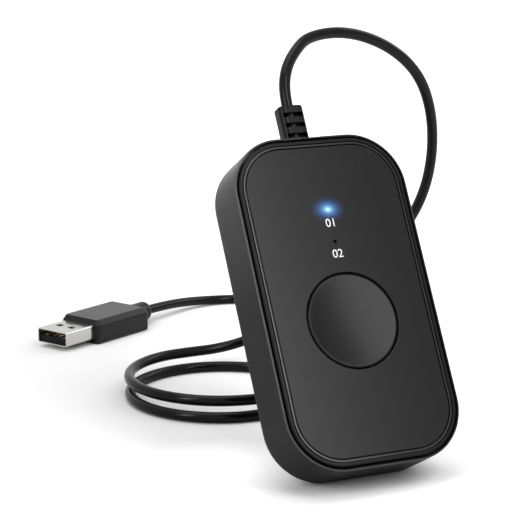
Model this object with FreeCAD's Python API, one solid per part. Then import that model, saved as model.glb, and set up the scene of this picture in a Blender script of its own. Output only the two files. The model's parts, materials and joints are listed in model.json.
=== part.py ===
import FreeCAD, Part

import os
from math import cos, degrees, pi, radians, sin, sqrt, tan

from FreeCAD import Matrix, Vector

# A desk button box on a cord: a flat rounded case with one large push button, two light
# windows and a cord with a flat four-contact plug. It leans back on its lower rear edge,
# as photographed, and its cord lies behind it in two loose turns.
#
# The case is drawn upright: X across, Y into the case from the front face, Z from the
# bottom end. It is then leaned back and set on the floor, with the origin under its middle.
# All lengths are millimetres and all angles are degrees.

# Case
case_width = 47.2
case_length = 84.4
case_depth = 17.0
case_corner = 13.9
case_wall = 1.8
case_floor = 1.8
rear_edge_radius = 3.5
shell_lip_drop = 0.2
shell_lip_thickness = 0.5
shell_edge_radius = 0.25
lean_angle = 29.2

# Front cover and the seam round it
parting_depth = 2.2
parting_gap = 0.2
cover_gap = 0.5
cover_edge_radius = 0.4
rim_width = 1.7
lip_width = 0.45
lip_groove_width = 0.35
lip_groove_depth = 0.5
deck_thickness = 1.6
skirt_clearance = 0.15
skirt_thickness = 1.2
skirt_reach = 2.0

# Front panel
panel_thickness = 1.0
panel_gap = 0.2
panel_edge_radius = 0.2

# Push button
button_radius = 12.0
button_gap = 0.3
button_drop = 5.9
button_edge_radius = 0.5
button_dish_depth = 0.35
button_dish_margin = 0.7
button_plate = 1.8
button_wall = 1.1
button_skirt = 3.4
button_travel = 0.5
stem_radius = 2.2
stem_gap = 0.05
hook_count = 3
hook_width = 5.0
hook_catch = 0.7
hook_catch_length = 0.95
hook_gap = 0.05
collar_length = 1.6
collar_wall = 1.1

# Light windows
light_rise = 20.3
light_pitch = 8.4
window_radius = 0.45
window_clearance = 0.05
window_recess = 0.1
pipe_radius = 1.0
lamp_width = 2.0
lamp_length = 1.3
lamp_thickness = 0.9
lamp_gap = 0.1

# Circuit board and what stands on it
board_front = 8.2
board_thickness = 1.2
board_width = 27.0
board_low_reach = 20.8
board_high_margin = 3.0
board_corner = 1.5
board_post_radius = 2.0
board_post_inset = 2.9
board_post_margin = 3.1
board_screw_radius = 0.8
board_screw_length = 5.2
board_screw_head_radius = 1.8
board_screw_head = 1.1
board_hole_clearance = 0.25
thread_clearance = 0.02

switch_width = 6.2
switch_thickness = 3.4
switch_corner = 0.6
switch_plate_thickness = 0.25
plunger_radius = 1.75
plunger_clearance = 0.1
plunger_reach = 0.65
plunger_seat = 0.8
terminal_width = 0.7
terminal_reach = 0.9
terminal_thickness = 0.3
terminal_pitch = 4.5

chip_width = 3.9
chip_length = 8.7
chip_thickness = 1.4
chip_standoff = 0.15
chip_side = -6.5
chip_drop = 4.3
chip_lead_count = 7
chip_lead_pitch = 1.27
chip_lead_width = 0.4
chip_lead_reach = 1.0
chip_lead_thickness = 0.2

crystal_width = 4.2
crystal_length = 10.5
crystal_thickness = 2.5
crystal_side = 6.8
crystal_drop = 3.3

small_part_width = 0.8
small_part_length = 1.6
small_part_thickness = 0.5
small_part_pitch = 3.0
small_part_count = 7
small_part_side = 11.0
small_part_drop = 0.3

# Cable connector on the board and the wires from it
header_width = 9.6
header_length = 6.0
header_thickness = 2.7
header_wall = 0.7
header_inset = 1.5
socket_clearance = 0.1
socket_proud = 1.6
wire_count = 4
wire_radius = 0.35
wire_pitch = 1.6
wire_gather = 0.95
wire_straight = 2.6

# Screws that close the case
case_screw_inset = 5.25
case_screw_angle = 30.0
post_radius = 3.1
post_thickness = 2.7
boss_radius = 2.6
case_screw_radius = 0.95
case_screw_head_radius = 1.8
case_screw_head = 1.4
case_screw_sink = 3.8
case_screw_bite = 5.0
case_screw_clearance = 0.2
blind_clearance = 0.4

# Rubber pad on the rear face and the ribs inside it
pad_screw_margin = 1.7
pad_end_margin = 7.2
pad_corner = 6.0
pad_recess = 0.5
pad_proud = 0.5
rib_thickness = 1.0
rib_rise = 1.5
rib_pitch = 17.0
rib_count = 3
rib_inset = 4.0

# Strain relief in the top end
relief_depth = 9.0
relief_width = 6.8
relief_thickness = 5.0
relief_corner = 1.6
relief_length = 11.2
relief_edge_radius = 0.4
slot_count = 3
slot_top = 2.65
slot_pitch = 2.8
slot_height = 1.25
slot_web = 1.0
slot_side = 0.6
slot_core_radius = 1.7
neck_width = 4.8
neck_thickness = 3.4
neck_corner = 0.8
neck_clearance = 0.15
flange_width = 7.4
flange_thickness = 5.4
flange_length = 1.5
flange_clearance = 0.05
tongue_clearance = 0.15

# Cord, and the two turns that it lies in behind the case
cord_diameter = 3.0
exit_run = 4.3
turn_gap = 0.5
upper_turn_radius = 26.2
upper_turn_x = -0.5
upper_turn_y = 68.0
lower_turn_radius = 25.5
lower_turn_x = -2.6
lower_turn_y = 64.0
turn_start_angle = 90.0
climb_start_angle = 270.0
climb_end_angle = 420.0
turn_end_angle = 630.0
biarc_angle = 90.0
join_run = 11.5

# Plug
plug_mouth_x = -29.06
plug_mouth_y = 131.86
plug_heading = 27.0
plug_shell_width = 12.0
plug_shell_thickness = 4.5
plug_shell_wall = 0.3
plug_shell_corner = 0.6
plug_shell_shown = 12.3
plug_shell_hidden = 6.0
latch_window = 2.2
latch_window_pitch = 5.0
latch_window_inset = 5.1
tongue_thickness = 1.9
tongue_inset = 0.8
tongue_block = 5.3
tongue_fit = 0.05
contact_width = 1.0
contact_thickness = 0.2
contact_pitch = 2.4
contact_inset = 1.4
contact_step = 0.9
contact_count = 4
grip_width = 15.5
grip_thickness = 7.6
grip_length = 24.0
grip_corner = 1.0
grip_top_drop = 1.7
grip_top_side = 1.1
grip_top_front = 0.8
grip_top_rear = 1.5
grip_top_corner = 0.6
grip_foot = 0.6
grip_line_height = 0.25
grip_line_depth = 0.2
tail_length = 7.7
tail_radius = 3.15
tail_round = 2.7
tail_end_radius = 1.9
plug_exit_run = 6.1

# Drawing aids
overrun = 1.0
pick = 0.01
tangent_step = 0.01
gap_step = 3.0
arc_share = 0.45

# Places that follow from the sizes above
case_middle = case_length / 2
cover_step = shell_lip_thickness + cover_gap
cover_width = case_width - 2 * cover_step
cover_length = case_length - 2 * cover_step
cover_corner = case_corner - cover_step
recess_width = cover_width - 2 * rim_width
recess_length = cover_length - 2 * rim_width
recess_corner = cover_corner - rim_width
shell_front = parting_depth + parting_gap
shell_floor = case_depth - case_floor
deck_rear = panel_thickness + deck_thickness
skirt_rear = deck_rear + skirt_reach
collar_rear = deck_rear + collar_length
button_height = case_middle - button_drop
button_hole_radius = button_radius + button_gap
lower_light_height = button_height + light_rise
upper_light_height = lower_light_height + light_pitch
board_rear = board_front + board_thickness
board_low = button_height - board_low_reach
board_high = upper_light_height + board_high_margin
header_high = board_high - header_inset
switch_front = board_front - switch_thickness
plunger_front = switch_front - switch_plate_thickness - plunger_reach
relief_low = case_length
relief_high = case_length + relief_length
flange_high = case_length - case_wall - flange_clearance
flange_low = flange_high - flange_length
case_screw_seat_depth = case_depth - case_screw_sink
post_face_depth = case_screw_seat_depth - post_thickness
case_screw_reach = case_corner - case_screw_inset
case_screw_side = (
    case_width / 2 - case_corner + case_screw_reach * cos(radians(case_screw_angle))
)
case_screw_margin = case_corner - case_screw_reach * sin(radians(case_screw_angle))
case_screw_spots = [
    (side * case_screw_side, height)
    for side in (-1, 1)
    for height in (case_screw_margin, case_length - case_screw_margin)
]
board_screw_spots = [
    (side * (board_width / 2 - board_post_inset), height)
    for side in (-1, 1)
    for height in (board_low + board_post_margin, board_high - board_post_margin)
]
case_screw_recess_radius = case_screw_head_radius + case_screw_clearance
pad_width = 2 * (case_screw_side - case_screw_recess_radius - pad_screw_margin)
pad_length = case_length - 2 * pad_end_margin
cord_radius = cord_diameter / 2
upper_turn_z = cord_radius + cord_diameter + turn_gap
lower_turn_z = cord_radius
plug_axis_height = grip_thickness / 2
plug_length = plug_shell_shown + grip_length + tail_length

# How the leaned case stands: its lower rear edge touches the floor, and the origin is
# under the middle of its reach from front to back.
lean = radians(lean_angle)
lean_lift = (case_depth - rear_edge_radius) * sin(lean) + rear_edge_radius * (1 - cos(lean))
case_front_reach = (
    (shell_lip_drop + shell_edge_radius) * cos(lean)
    + shell_edge_radius * sin(lean)
    - shell_edge_radius
)
case_rear_reach = (
    (case_depth - rear_edge_radius) * cos(lean)
    + (case_length - rear_edge_radius) * sin(lean)
    + rear_edge_radius
)
lean_shift = -(case_front_reach + case_rear_reach) / 2


def leaned(shape):
    """The case's frame to the standing frame."""
    turn = Matrix()
    turn.rotateX(-lean)
    turn.move(Vector(0, lean_shift, lean_lift))
    return shape.transformShape(turn, True)


def leaned_point(x, depth, height):
    """One point of the case's frame in the standing frame."""
    y = depth * cos(lean) + height * sin(lean) + lean_shift
    z = height * cos(lean) - depth * sin(lean) + lean_lift
    return Vector(x, y, z)


def laid(shape):
    """The plug's frame, with X from its mouth to its cord, to the standing frame."""
    turn = Matrix()
    turn.rotateZ(radians(plug_heading))
    turn.move(Vector(plug_mouth_x, plug_mouth_y, 0))
    return shape.transformShape(turn, True)


def rounded_wire(width, length, corner, spot):
    """Rounded rectangle; spot turns its two flat coordinates into a point."""
    flat_width = width / 2 - corner
    flat_length = length / 2 - corner
    edges = []
    ends = []
    for quarter, (side, end) in enumerate(((1, 1), (-1, 1), (-1, -1), (1, -1))):
        turn = [spot(side * flat_width + corner * cos(share * pi / 2),
                     end * flat_length + corner * sin(share * pi / 2))
                for share in (quarter, quarter + 0.5, quarter + 1)]
        edges.append(Part.Arc(*turn).toShape())
        ends.append((turn[0], turn[2]))
    for corner_now, corner_next in zip(ends, ends[1:] + ends[:1]):
        edges.append(Part.LineSegment(corner_now[1], corner_next[0]).toShape())
    return Part.Wire(Part.__sortEdges__(edges))


def slab(width, length, corner, front, rear):
    """Rounded plate between two depths, on the case's middle line."""
    outline = rounded_wire(width, length, corner, lambda a, b: Vector(a, front, case_middle + b))
    return Part.Face(outline).extrude(Vector(0, rear - front, 0))


def rod(radius, x, height, front, rear):
    """Round bar from one depth to another."""
    return Part.makeCylinder(radius, rear - front, Vector(x, front, height), Vector(0, 1, 0))


def bar(width, x, front, rear, low, high):
    """Square bar, centred on x."""
    return Part.makeBox(width, rear - front, high - low, Vector(x - width / 2, front, low))


def edges_at(shape, depth):
    """The edges that lie whole at one depth."""
    found = []
    for edge in shape.Edges:
        reach = edge.BoundBox
        if abs(reach.YMin - depth) < pick and abs(reach.YMax - depth) < pick:
            found.append(edge)
    return found


def joined(shapes):
    """One solid from several that meet."""
    return shapes[0].multiFuse(shapes[1:]).removeSplitter()


def make_rear_shell():
    """Tub with a thin front lip, a rolled rear edge, posts, ribs, pad recess and cord slot."""
    inner_width = case_width - 2 * case_wall
    inner_length = case_length - 2 * case_wall
    inner_corner = case_corner - case_wall
    body = slab(case_width, case_length, case_corner, shell_lip_drop, case_depth)
    body = body.makeFillet(rear_edge_radius, edges_at(body, case_depth))
    body = body.makeFillet(shell_edge_radius, edges_at(body, shell_lip_drop))
    mouth = slab(case_width - 2 * shell_lip_thickness, case_length - 2 * shell_lip_thickness,
                 case_corner - shell_lip_thickness, shell_lip_drop - overrun, shell_front)
    cavity = slab(inner_width, inner_length, inner_corner, shell_front - overrun, shell_floor)
    cavity = cavity.makeFillet(rear_edge_radius - case_wall, edges_at(cavity, shell_floor))
    body = body.cut([cavity, mouth])
    added = [body]
    for x, height in case_screw_spots:
        added.append(rod(post_radius, x, height, post_face_depth, case_depth - pad_recess))
    for step in range(rib_count):
        low = case_middle + (step - (rib_count - 1) / 2) * rib_pitch - rib_thickness / 2
        added.append(bar(inner_width - 2 * rib_inset, 0, shell_floor - rib_rise,
                         case_depth - pad_recess - pad_proud, low, low + rib_thickness))
    body = joined(added)
    cuts = [slab(pad_width, pad_length, pad_corner, case_depth - pad_recess, case_depth + overrun)]
    for x, height in case_screw_spots:
        cuts.append(rod(case_screw_recess_radius, x, height, case_screw_seat_depth,
                        case_depth + overrun))
        cuts.append(rod(case_screw_radius + case_screw_clearance, x, height,
                        post_face_depth - overrun, case_screw_seat_depth + overrun))
    cuts.append(bar(neck_width + 2 * neck_clearance, 0, shell_lip_drop - overrun,
                    relief_depth + neck_thickness / 2 + neck_clearance,
                    case_length - case_wall - overrun, case_length + overrun))
    return body.cut(cuts)


def make_front_cover():
    """Front frame with a grooved lip, a deck behind the panel, a skirt, bosses and a collar."""
    skirt_inset = case_wall + skirt_clearance
    skirt_width = case_width - 2 * skirt_inset
    skirt_length = case_length - 2 * skirt_inset
    skirt_corner = case_corner - skirt_inset
    rim = slab(cover_width, cover_length, cover_corner, 0, parting_depth)
    rim = rim.makeFillet(cover_edge_radius, edges_at(rim, 0))
    skirt = slab(skirt_width, skirt_length, skirt_corner, panel_thickness, skirt_rear)
    hollow = slab(skirt_width - 2 * skirt_thickness, skirt_length - 2 * skirt_thickness,
                  skirt_corner - skirt_thickness, deck_rear, skirt_rear + overrun)
    added = [rim, skirt.cut(hollow)]
    added.append(rod(button_hole_radius + collar_wall, 0, button_height, panel_thickness,
                     collar_rear))
    for x, height in case_screw_spots:
        added.append(rod(boss_radius, x, height, panel_thickness, post_face_depth))
    for x, height in board_screw_spots:
        added.append(rod(board_post_radius, x, height, panel_thickness, board_front))
    tongue_width = neck_width + 2 * neck_clearance - 2 * tongue_clearance
    tongue_rear = relief_depth - neck_thickness / 2 - tongue_clearance
    tongue_high = case_length - tongue_clearance
    added.append(bar(tongue_width, 0, panel_thickness, skirt_rear, case_length - skirt_inset,
                     case_length - cover_step))
    added.append(bar(tongue_width, 0, parting_depth, tongue_rear, case_length - case_wall,
                     tongue_high))
    added.append(bar(tongue_width, 0, shell_lip_drop, tongue_rear,
                     case_length - shell_lip_thickness, tongue_high))
    body = joined(added)
    lip_width_total = recess_width + 2 * lip_width
    lip_length_total = recess_length + 2 * lip_width
    lip_corner = recess_corner + lip_width
    groove = slab(lip_width_total + 2 * lip_groove_width, lip_length_total + 2 * lip_groove_width,
                  lip_corner + lip_groove_width, -overrun, lip_groove_depth)
    groove = groove.cut(slab(lip_width_total, lip_length_total, lip_corner, -overrun,
                             lip_groove_depth + overrun))
    cuts = [groove, slab(recess_width, recess_length, recess_corner, -overrun, panel_thickness)]
    cuts.append(rod(button_hole_radius, 0, button_height, -overrun, collar_rear + overrun))
    for height in (upper_light_height, lower_light_height):
        cuts.append(rod(pipe_radius + window_clearance, 0, height, -overrun, deck_rear + overrun))
    for x, height in case_screw_spots:
        bite_front = post_face_depth - case_screw_bite - blind_clearance
        cuts.append(rod(case_screw_radius + thread_clearance, x, height, bite_front,
                        post_face_depth + overrun))
    for x, height in board_screw_spots:
        bite_front = board_rear - board_screw_length - blind_clearance
        cuts.append(rod(board_screw_radius + thread_clearance, x, height, bite_front,
                        board_front + overrun))
    return body.cut(cuts)


def make_front_panel():
    """Thin front plate with a softened edge, a button hole and two window holes."""
    plate = slab(recess_width - 2 * panel_gap, recess_length - 2 * panel_gap,
                 recess_corner - panel_gap, 0, panel_thickness)
    cuts = [rod(button_hole_radius, 0, button_height, -overrun, panel_thickness + overrun)]
    for height in (upper_light_height, lower_light_height):
        cuts.append(rod(window_radius + window_clearance, 0, height, -overrun,
                        panel_thickness + overrun))
    plate = plate.cut(cuts)
    wide = [edge for edge in edges_at(plate, 0) if edge.Length > 2 * pi * pipe_radius]
    return plate.makeFillet(panel_edge_radius, wide)


def make_light_pipe(height):
    """Clear pipe with a fine tip in the panel and a wider shank through the deck."""
    tip = rod(window_radius, 0, height, window_recess, panel_thickness + overrun)
    shank = rod(pipe_radius, 0, height, panel_thickness, board_front - lamp_thickness - lamp_gap)
    return joined([tip, shank])


def make_lamp(height):
    """Small lamp on the board, behind its light pipe."""
    return bar(lamp_width, 0, board_front - lamp_thickness, board_front,
               height - lamp_length / 2, height + lamp_length / 2)


def make_button_cap():
    """Round cap with a shallow dish, a skirt, snap hooks and a stem to the switch."""
    dish_radius = button_radius - button_dish_margin
    skirt_inner = button_radius - button_wall
    catch_front = collar_rear + hook_gap
    catch_rear = catch_front + hook_catch_length

    def spot(radius, depth):
        return Vector(radius, depth, button_height)

    edge_inner = spot(button_radius - button_edge_radius, 0)
    edge_outer = spot(button_radius, button_edge_radius)
    edge_middle = spot(button_radius - button_edge_radius * (1 - sqrt(0.5)),
                       button_edge_radius * (1 - sqrt(0.5)))
    corners = [edge_outer, spot(button_radius, button_skirt), spot(skirt_inner, button_skirt),
               spot(skirt_inner, button_plate), spot(stem_radius, button_plate),
               spot(stem_radius, plunger_front - stem_gap), spot(0, plunger_front - stem_gap),
               spot(0, 0), edge_inner]
    edges = [Part.Arc(edge_inner, edge_middle, edge_outer).toShape()]
    edges += [Part.LineSegment(a, b).toShape() for a, b in zip(corners, corners[1:])]
    axis_foot = Vector(0, 0, button_height)
    axis = Vector(0, 1, 0)
    cap = Part.Face(Part.Wire(edges)).revolve(axis_foot, axis, 360)
    hook_outline = [spot(skirt_inner, button_skirt), spot(button_radius, button_skirt),
                    spot(button_radius, catch_front), spot(button_radius + hook_catch, catch_front),
                    spot(button_radius, catch_rear), spot(skirt_inner, catch_rear)]
    hook_turn = degrees(hook_width / button_radius)
    hook = Part.Face(Part.makePolygon(hook_outline + hook_outline[:1]))
    added = [cap]
    for step in range(hook_count):
        piece = hook.revolve(axis_foot, axis, hook_turn)
        piece.rotate(axis_foot, axis, step * 360 / hook_count - hook_turn / 2 + 90)
        added.append(piece)
    sphere_radius = (dish_radius ** 2 + button_dish_depth ** 2) / (2 * button_dish_depth)
    dish = Part.makeSphere(sphere_radius)
    dish.rotate(Vector(), Vector(0, 0, 1), -90)
    dish.translate(spot(0, button_dish_depth - sphere_radius))
    return joined(added).cut(dish)


def make_switch_body():
    """Square switch base with a plunger well and four side terminals."""
    half = switch_width / 2
    base = bar(switch_width, 0, switch_front, board_front, button_height - half,
               button_height + half)
    upright = [edge for edge in base.Edges
               if edge.BoundBox.YLength > switch_thickness - pick]
    base = base.makeFillet(switch_corner, upright)
    well_rear = switch_front + plunger_seat + button_travel + plunger_clearance
    base = base.cut(rod(plunger_radius + plunger_clearance, 0, button_height,
                        switch_front - overrun, well_rear))
    added = [base]
    for side in (-1, 1):
        for end in (-1, 1):
            middle = button_height + end * terminal_pitch / 2
            x = side * (half + (terminal_reach - switch_corner) / 2)
            added.append(bar(terminal_reach + switch_corner, x, board_front - terminal_thickness,
                             board_front, middle - terminal_width / 2,
                             middle + terminal_width / 2))
    return joined(added)


def make_switch_plate():
    """Thin metal face over the switch base."""
    half = switch_width / 2
    plate = bar(switch_width, 0, switch_front - switch_plate_thickness, switch_front,
                button_height - half, button_height + half)
    upright = [edge for edge in plate.Edges
               if edge.BoundBox.YLength > switch_plate_thickness - pick]
    plate = plate.makeFillet(switch_corner, upright)
    return plate.cut(rod(plunger_radius + plunger_clearance, 0, button_height,
                         switch_front - switch_plate_thickness - overrun, switch_front + overrun))


def make_switch_plunger():
    """Round plunger that the cap's stem pushes."""
    return rod(plunger_radius, 0, button_height, plunger_front, switch_front + plunger_seat)


def make_circuit_board():
    """Board with rounded corners and four screw holes."""
    middle = (board_low + board_high) / 2
    outline = rounded_wire(board_width, board_high - board_low, board_corner,
                           lambda a, b: Vector(a, board_front, middle + b))
    board = Part.Face(outline).extrude(Vector(0, board_thickness, 0))
    holes = [rod(board_screw_radius + board_hole_clearance, x, height, board_front - overrun,
                 board_rear + overrun) for x, height in board_screw_spots]
    return board.cut(holes)


def make_controller_chip():
    """Chip body on the rear of the board, with its two rows of leads."""
    front = board_rear + chip_standoff
    chip_middle = button_height - chip_drop
    low = chip_middle - chip_length / 2
    added = [bar(chip_width, chip_side, front, front + chip_thickness, low, low + chip_length)]
    reach = chip_width + 2 * chip_lead_reach
    for step in range(chip_lead_count):
        middle = chip_middle + (step - (chip_lead_count - 1) / 2) * chip_lead_pitch
        added.append(bar(reach, chip_side, board_rear, front + chip_lead_thickness,
                         middle - chip_lead_width / 2, middle + chip_lead_width / 2))
    return joined(added)


def make_quartz_crystal():
    """Oval metal can of the crystal."""
    middle = button_height - crystal_drop
    outline = rounded_wire(crystal_width, crystal_length, crystal_width / 2 - pick,
                           lambda a, b: Vector(crystal_side + a, board_rear, middle + b))
    return Part.Face(outline).extrude(Vector(0, crystal_thickness, 0))


def make_board_parts():
    """Two rows of small parts on the rear of the board."""
    pieces = []
    for side in (-1, 1):
        for step in range(small_part_count):
            low = button_height - small_part_drop + step * small_part_pitch
            pieces.append(bar(small_part_length, side * small_part_side, board_rear,
                              board_rear + small_part_thickness, low, low + small_part_width))
    return Part.makeCompound(pieces)


def make_cable_header():
    """Connector shell on the board, open at its upper end."""
    rear = board_rear + header_thickness
    low = header_high - header_length
    block = bar(header_width, 0, board_rear, rear, low, header_high)
    pocket = bar(header_width - 2 * header_wall, 0, board_rear + header_wall, rear - header_wall,
                 low + header_wall, header_high + overrun)
    return block.cut(pocket)


def make_cable_socket():
    """Connector half on the wires, seated in the shell."""
    return bar(header_width - 2 * (header_wall + socket_clearance), 0,
               board_rear + header_wall + socket_clearance,
               board_rear + header_thickness - header_wall - socket_clearance,
               header_high - header_length + header_wall, header_high + socket_proud)


def arc_corner(before, corner, after):
    """Arc that rounds one corner of a route, as its three points and its radius."""
    run_in = before - corner
    run_out = after - corner
    turn = pi - run_in.getAngle(run_out)
    back = arc_share * min(run_in.Length, run_out.Length)
    radius = back / tan(turn / 2)
    run_in.normalize()
    run_out.normalize()
    inward = (run_in + run_out).normalize()
    middle = corner + inward * (radius / cos(turn / 2) - radius)
    return corner + run_in * back, middle, corner + run_out * back, radius


def rounded_route(points):
    """Straight runs of a route joined by tangent arcs, and the arcs' radii."""
    edges = []
    radii = []
    last = points[0]
    for before, corner, after in zip(points, points[1:], points[2:]):
        start, middle, stop, radius = arc_corner(before, corner, after)
        edges.append(Part.LineSegment(last, start).toShape())
        edges.append(Part.Arc(start, middle, stop).toShape())
        radii.append(radius)
        last = stop
    edges.append(Part.LineSegment(last, points[-1]).toShape())
    return edges, radii


def swept(edges, radius, start, heading):
    """Round tube along a path that begins at start."""
    section = Part.Wire(Part.Circle(start, heading, radius).toShape())
    return Part.Wire(edges).makePipeShell([section], True, False)


def route_tube(name, points, radius):
    """Round tube along a route, with its radii, length and volume printed."""
    edges, radii = rounded_route(points)
    tube = swept(edges, radius, points[0], points[1] - points[0])
    length = sum(edge.Length for edge in edges)
    share = tube.Volume / (pi * radius ** 2 * length)
    print(name, "length", round(length, 1), "least radius", round(min(radii), 1),
          "volume share", round(share, 4))
    print(name, "radii", [round(value, 1) for value in radii])
    return tube


def make_lead_wires():
    """Four wires from the connector to the strain relief, gathered as they rise."""
    low = header_high + socket_proud
    depth = board_rear + header_thickness / 2
    pieces = []
    for step in range(wire_count):
        place = step - (wire_count - 1) / 2
        route = [Vector(place * wire_pitch, depth, low),
                 Vector(place * wire_pitch, depth, low + wire_straight),
                 Vector(place * wire_gather, relief_depth, flange_low - wire_straight),
                 Vector(place * wire_gather, relief_depth, flange_low)]
        edges, radii = rounded_route(route)
        pieces.append(swept(edges, wire_radius, route[0], Vector(0, 0, 1)))
    return Part.makeCompound(pieces)


def make_board_screws():
    """Four screws that hold the board to the cover's posts."""
    pieces = []
    for x, height in board_screw_spots:
        head = rod(board_screw_head_radius, x, height, board_rear, board_rear + board_screw_head)
        shank = rod(board_screw_radius, x, height, board_rear - board_screw_length, board_rear)
        pieces.append(joined([head, shank]))
    return Part.makeCompound(pieces)


def make_case_screws():
    """Four screws that pull the rear shell to the cover's bosses."""
    pieces = []
    for x, height in case_screw_spots:
        head = rod(case_screw_head_radius, x, height, case_screw_seat_depth,
                   case_screw_seat_depth + case_screw_head)
        shank = rod(case_screw_radius, x, height, post_face_depth - case_screw_bite,
                    case_screw_seat_depth)
        pieces.append(joined([head, shank]))
    return Part.makeCompound(pieces)


def make_grip_pad():
    """Rubber pad seated in the rear face."""
    return slab(pad_width, pad_length, pad_corner, case_depth - pad_recess,
                case_depth + pad_proud)


def upright_block(width, thickness, corner, low, high):
    """Rounded bar along the case's length, on the strain relief's line."""
    outline = rounded_wire(width, thickness, corner, lambda a, b: Vector(a, relief_depth + b, low))
    return Part.Face(outline).extrude(Vector(0, 0, high - low))


def make_strain_relief():
    """Moulded sleeve with slots across its front and rear, a neck and an inner flange."""
    sleeve = upright_block(relief_width, relief_thickness, relief_corner, relief_low, relief_high)
    rim = [edge for edge in sleeve.Edges if edge.BoundBox.ZMin > relief_high - pick]
    sleeve = sleeve.makeFillet(relief_edge_radius, rim)
    neck = upright_block(neck_width, neck_thickness, neck_corner, flange_high, relief_low)
    flange = upright_block(flange_width, flange_thickness, relief_corner, flange_low, flange_high)
    body = joined([sleeve, neck, flange])
    core = Part.makeCylinder(slot_core_radius, relief_length, Vector(0, relief_depth, relief_low))
    cuts = []
    for step in range(slot_count):
        middle = relief_high - slot_top - step * slot_pitch
        for side in (-1, 1):
            ends = sorted((relief_depth + side * slot_web / 2,
                           relief_depth + side * (relief_thickness / 2 + overrun)))
            slot = bar(relief_width - 2 * slot_side, 0, ends[0], ends[1],
                       middle - slot_height / 2, middle + slot_height / 2)
            cuts.append(slot.cut(core))
    return body.cut(cuts)


def turn_point(angle):
    """Middle of the cord at one angle of its two turns, the upper one first."""
    share = min(max((angle - climb_start_angle) / (climb_end_angle - climb_start_angle), 0), 1)
    blend = share * share * (3 - 2 * share)
    radius = upper_turn_radius + blend * (lower_turn_radius - upper_turn_radius)
    x = upper_turn_x + blend * (lower_turn_x - upper_turn_x)
    y = upper_turn_y + blend * (lower_turn_y - upper_turn_y)
    z = upper_turn_z + blend * (lower_turn_z - upper_turn_z)
    return Vector(x + radius * cos(radians(angle)), y + radius * sin(radians(angle)), z)


def turn_heading(angle):
    """Direction of the cord at one angle of its turns."""
    heading = turn_point(angle + tangent_step) - turn_point(angle - tangent_step)
    return heading.normalize()


def tangent_arc(start, heading, stop):
    """Arc from start along heading to stop."""
    chord = stop - start
    across = chord - heading * chord.dot(heading)
    across.normalize()
    radius = chord.dot(chord) / (2 * chord.dot(across))
    centre = start + across * radius
    outward = (start - centre) + (stop - centre)
    outward.normalize()
    return Part.Arc(start, centre + outward * radius, stop).toShape()


def biarc(start, start_heading, stop, stop_heading):
    """Two arcs that meet smoothly and leave and arrive along the headings."""
    chord = stop - start
    both = start_heading + stop_heading
    spare = 2 * (1 - start_heading.dot(stop_heading))
    along = chord.dot(both)
    reach = (sqrt(along * along + spare * chord.dot(chord)) - along) / spare
    middle = (start + start_heading * reach + stop - stop_heading * reach) * 0.5
    second = tangent_arc(stop, stop_heading * -1, middle)
    return [tangent_arc(start, start_heading, middle), second]


def make_cord_loops():
    """The two loose turns, one tube: a straight end, quarter-turn biarcs, a straight end."""
    heading = turn_heading(turn_start_angle)
    start = turn_point(turn_start_angle) - heading * cord_diameter
    edges = [Part.LineSegment(start, turn_point(turn_start_angle)).toShape()]
    angle = turn_start_angle
    while angle < turn_end_angle:
        stop = angle + biarc_angle
        edges += biarc(turn_point(angle), turn_heading(angle), turn_point(stop),
                       turn_heading(stop))
        angle = stop
    last_heading = turn_heading(turn_end_angle)
    last = turn_point(turn_end_angle)
    edges.append(Part.LineSegment(last, last + last_heading * cord_diameter).toShape())
    tube = swept(edges, cord_radius, start, heading)
    length = sum(edge.Length for edge in edges)
    share = tube.Volume / (pi * cord_radius ** 2 * length)
    print("cord_loops length", round(length, 1), "volume share", round(share, 4))
    return tube, start, last + last_heading * cord_diameter


def least_turn_gap():
    """Smallest clear space between the two turns, on points along them."""
    steps = int((turn_end_angle - turn_start_angle) / gap_step)
    points = [turn_point(turn_start_angle + step * gap_step) for step in range(steps + 1)]
    apart = int(180 / gap_step)
    least = min((a - b).Length for index, a in enumerate(points) for b in points[index + apart:])
    return least - cord_diameter


def rise_route(stop):
    """Route from the strain relief, up in an arc and down behind the case, to the turns."""
    exit_point = leaned_point(0, relief_depth, relief_high)
    second_point = leaned_point(0, relief_depth, relief_high + exit_run)
    return [
        exit_point,
        second_point,
        Vector(1.5, 32.0, 95.0),
        Vector(5.0, 35.5, 99.5),
        Vector(12.0, 39.5, 103.0),
        Vector(25.0, 41.5, 103.5),
        Vector(38.0, 42.0, 98.5),
        Vector(49.5, 45.0, 91.0),
        Vector(55.0, 47.5, 80.0),
        Vector(57.0, 51.0, 67.0),
        Vector(56.5, 55.5, 54.0),
        Vector(53.5, 63.0, 42.0),
        Vector(47.5, 72.0, 30.0),
        Vector(38.5, 82.0, 19.0),
        Vector(26.5, 90.0, 10.5),
        stop + Vector(join_run, 0, 0),
        stop,
    ]


def lead_route(start):
    """Route from the turns, along the floor behind the case, to the plug."""
    heading = Vector(cos(radians(plug_heading)), sin(radians(plug_heading)), 0)
    mouth = Vector(plug_mouth_x, plug_mouth_y, plug_axis_height)
    plug_end = mouth + heading * plug_length
    return [
        start,
        Vector(14.0, start.y, start.z),
        Vector(27.0, 44.5, cord_radius),
        Vector(37.0, 56.0, cord_radius),
        Vector(44.0, 73.0, cord_radius),
        Vector(49.0, 93.5, cord_radius),
        Vector(56.0, 114.0, cord_radius),
        Vector(59.0, 136.0, cord_radius),
        Vector(58.0, 150.0, cord_radius),
        Vector(51.5, 160.5, cord_radius),
        Vector(39.5, 164.5, cord_radius),
        Vector(27.0, 161.0, 2.8),
        plug_end + heading * plug_exit_run,
        plug_end,
    ]


def lengthways_block(width, thickness, corner, start, stop):
    """Rounded bar along the plug."""
    outline = rounded_wire(width, thickness, corner,
                           lambda a, b: Vector(start, a, plug_axis_height + b))
    return Part.Face(outline).extrude(Vector(stop - start, 0, 0))


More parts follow.
